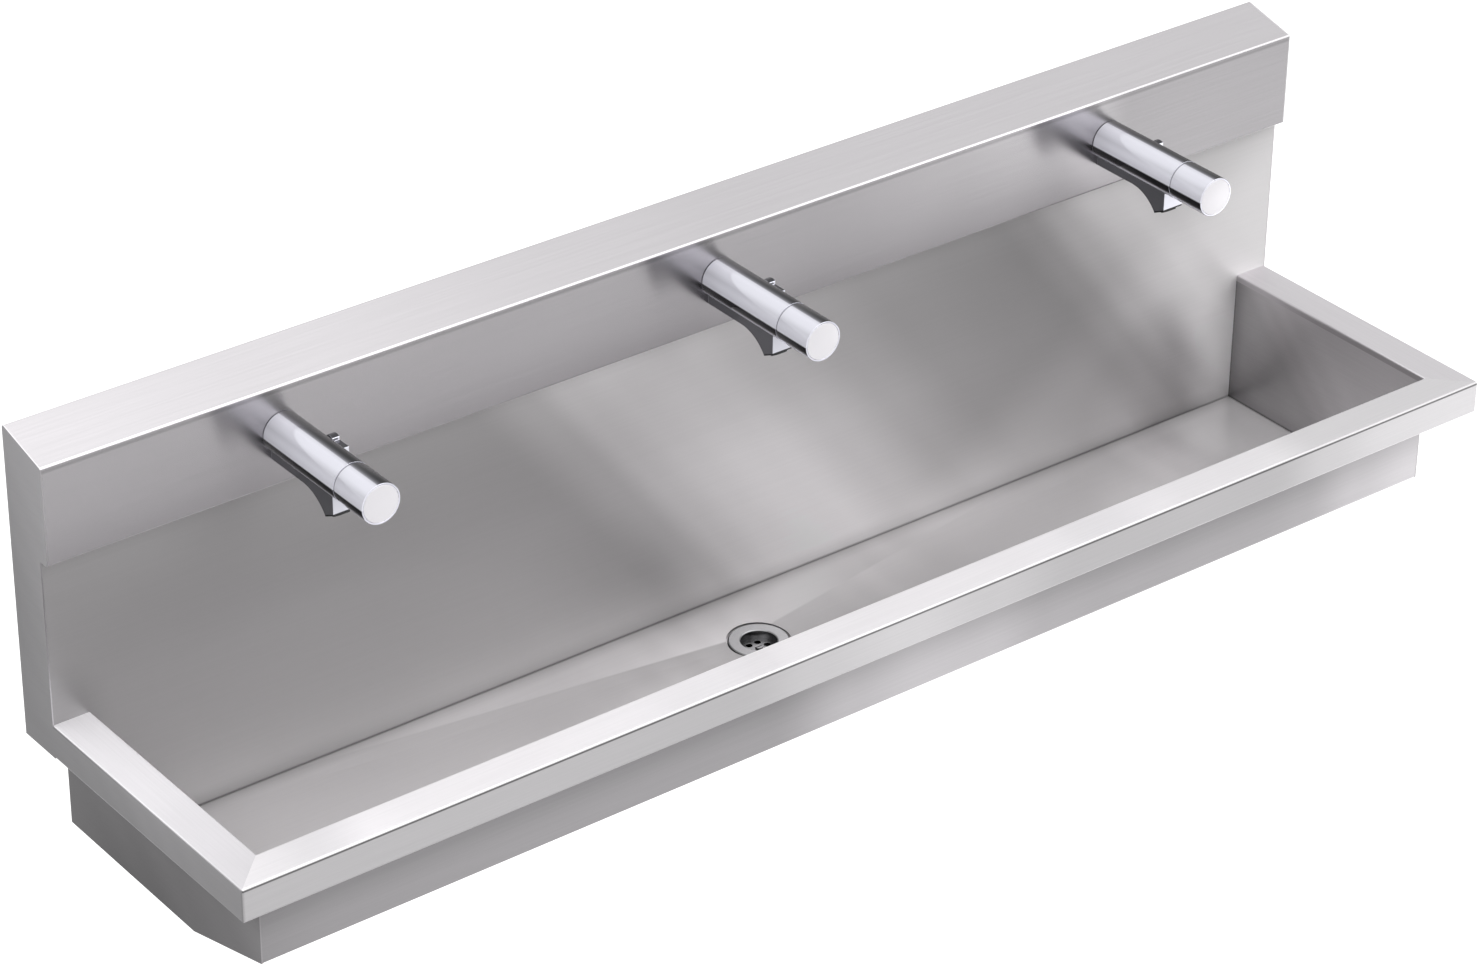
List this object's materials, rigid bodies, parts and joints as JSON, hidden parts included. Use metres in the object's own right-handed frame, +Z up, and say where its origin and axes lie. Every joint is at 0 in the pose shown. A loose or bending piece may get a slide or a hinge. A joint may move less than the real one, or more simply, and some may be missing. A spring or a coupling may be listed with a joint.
{
  "type": "trough sink",
  "caption": "Wall-hung stainless washing trough with a raised splashback, a tap hood, self-closing mixer taps and a strainer waste.",
  "frame": {"origin": "on the wall plane, in the middle of the length, level with the top of the rim", "axes": "+X along the trough to the right as the user faces it, +Y into the wall, +Z up"},
  "size_m": [1.8, 0.4465, 0.5951],
  "materials": {
    "stainless_sheet": "satin ground, grain along the length",
    "zinc_steel": "zinc plated",
    "chrome": "polished",
    "satin_cap": "fine satin",
    "strainer_steel": "pressed and polished",
    "brass": "as cast and turned",
    "rubber": "matte",
    "black_plastic": "moulded",
    "cartridge_plastic": "moulded"
  },
  "bodies": {
    "sink": {"left_end_panel": "stainless_sheet", "right_end_panel": "stainless_sheet", "front_rim": "stainless_sheet", "tap_hood": "stainless_sheet", "back_wall": "stainless_sheet", "basin_floor": "stainless_sheet", "basin_front": "stainless_sheet", "basin_left_end": "stainless_sheet", "basin_right_end": "stainless_sheet", "wall_rail": "zinc_steel", "left_upright": "zinc_steel", "middle_upright": "zinc_steel", "right_upright": "zinc_steel", "waste_fitting": "chrome", "strainer": "strainer_steel", "strainer_screw": "strainer_steel", "waste_seal": "rubber", "waste_rubber": "rubber", "waste_nut": "brass", "tap_1_body": "chrome", "tap_1_gasket": "rubber", "tap_1_washer": "zinc_steel", "tap_1_lock_nut": "brass", "tap_1_inlet_block": "brass", "tap_1_hot_inlet": "brass", "tap_1_cold_inlet": "brass", "tap_1_cartridge": "cartridge_plastic", "tap_1_spout": "chrome", "tap_1_aerator": "black_plastic", "tap_2_body": "chrome", "tap_2_gasket": "rubber", "tap_2_washer": "zinc_steel", "tap_2_lock_nut": "brass", "tap_2_inlet_block": "brass", "tap_2_hot_inlet": "brass", "tap_2_cold_inlet": "brass", "tap_2_cartridge": "cartridge_plastic", "tap_2_spout": "chrome", "tap_2_aerator": "black_plastic", "tap_3_body": "chrome", "tap_3_gasket": "rubber", "tap_3_washer": "zinc_steel", "tap_3_lock_nut": "brass", "tap_3_inlet_block": "brass", "tap_3_hot_inlet": "brass", "tap_3_cold_inlet": "brass", "tap_3_cartridge": "cartridge_plastic", "tap_3_spout": "chrome", "tap_3_aerator": "black_plastic"},
    "push_cap_1": {"tap_1_push_cap": "chrome", "tap_1_cap_disc": "satin_cap"},
    "temperature_lever_1": {"tap_1_lever": "chrome"},
    "push_cap_2": {"tap_2_push_cap": "chrome", "tap_2_cap_disc": "satin_cap"},
    "temperature_lever_2": {"tap_2_lever": "chrome"},
    "push_cap_3": {"tap_3_push_cap": "chrome", "tap_3_cap_disc": "satin_cap"},
    "temperature_lever_3": {"tap_3_lever": "chrome"}
  },
  "joints": [
    {"name": "push_cap_1_press", "type": "slide", "parent": "sink", "child": "push_cap_1", "axis": [0, 1, 0], "range_m": [0, 0.0022], "stiffness_N_per_m": 4000, "springref_m": -0.004},
    {"name": "temperature_lever_1_turn", "type": "hinge", "parent": "sink", "child": "temperature_lever_1", "pos_m": [-0.5749, -0.1335, 0.2745], "axis": [1, 0, 0], "range_deg": [-45, 45]},
    {"name": "push_cap_2_press", "type": "slide", "parent": "sink", "child": "push_cap_2", "axis": [0, 1, 0], "range_m": [0, 0.0022], "stiffness_N_per_m": 4000, "springref_m": -0.004},
    {"name": "temperature_lever_2_turn", "type": "hinge", "parent": "sink", "child": "temperature_lever_2", "pos_m": [0.0251, -0.1335, 0.2745], "axis": [1, 0, 0], "range_deg": [-45, 45]},
    {"name": "push_cap_3_press", "type": "slide", "parent": "sink", "child": "push_cap_3", "axis": [0, 1, 0], "range_m": [0, 0.0022], "stiffness_N_per_m": 4000, "springref_m": -0.004},
    {"name": "temperature_lever_3_turn", "type": "hinge", "parent": "sink", "child": "temperature_lever_3", "pos_m": [0.6251, -0.1335, 0.2745], "axis": [1, 0, 0], "range_deg": [-45, 45]}
  ]
}
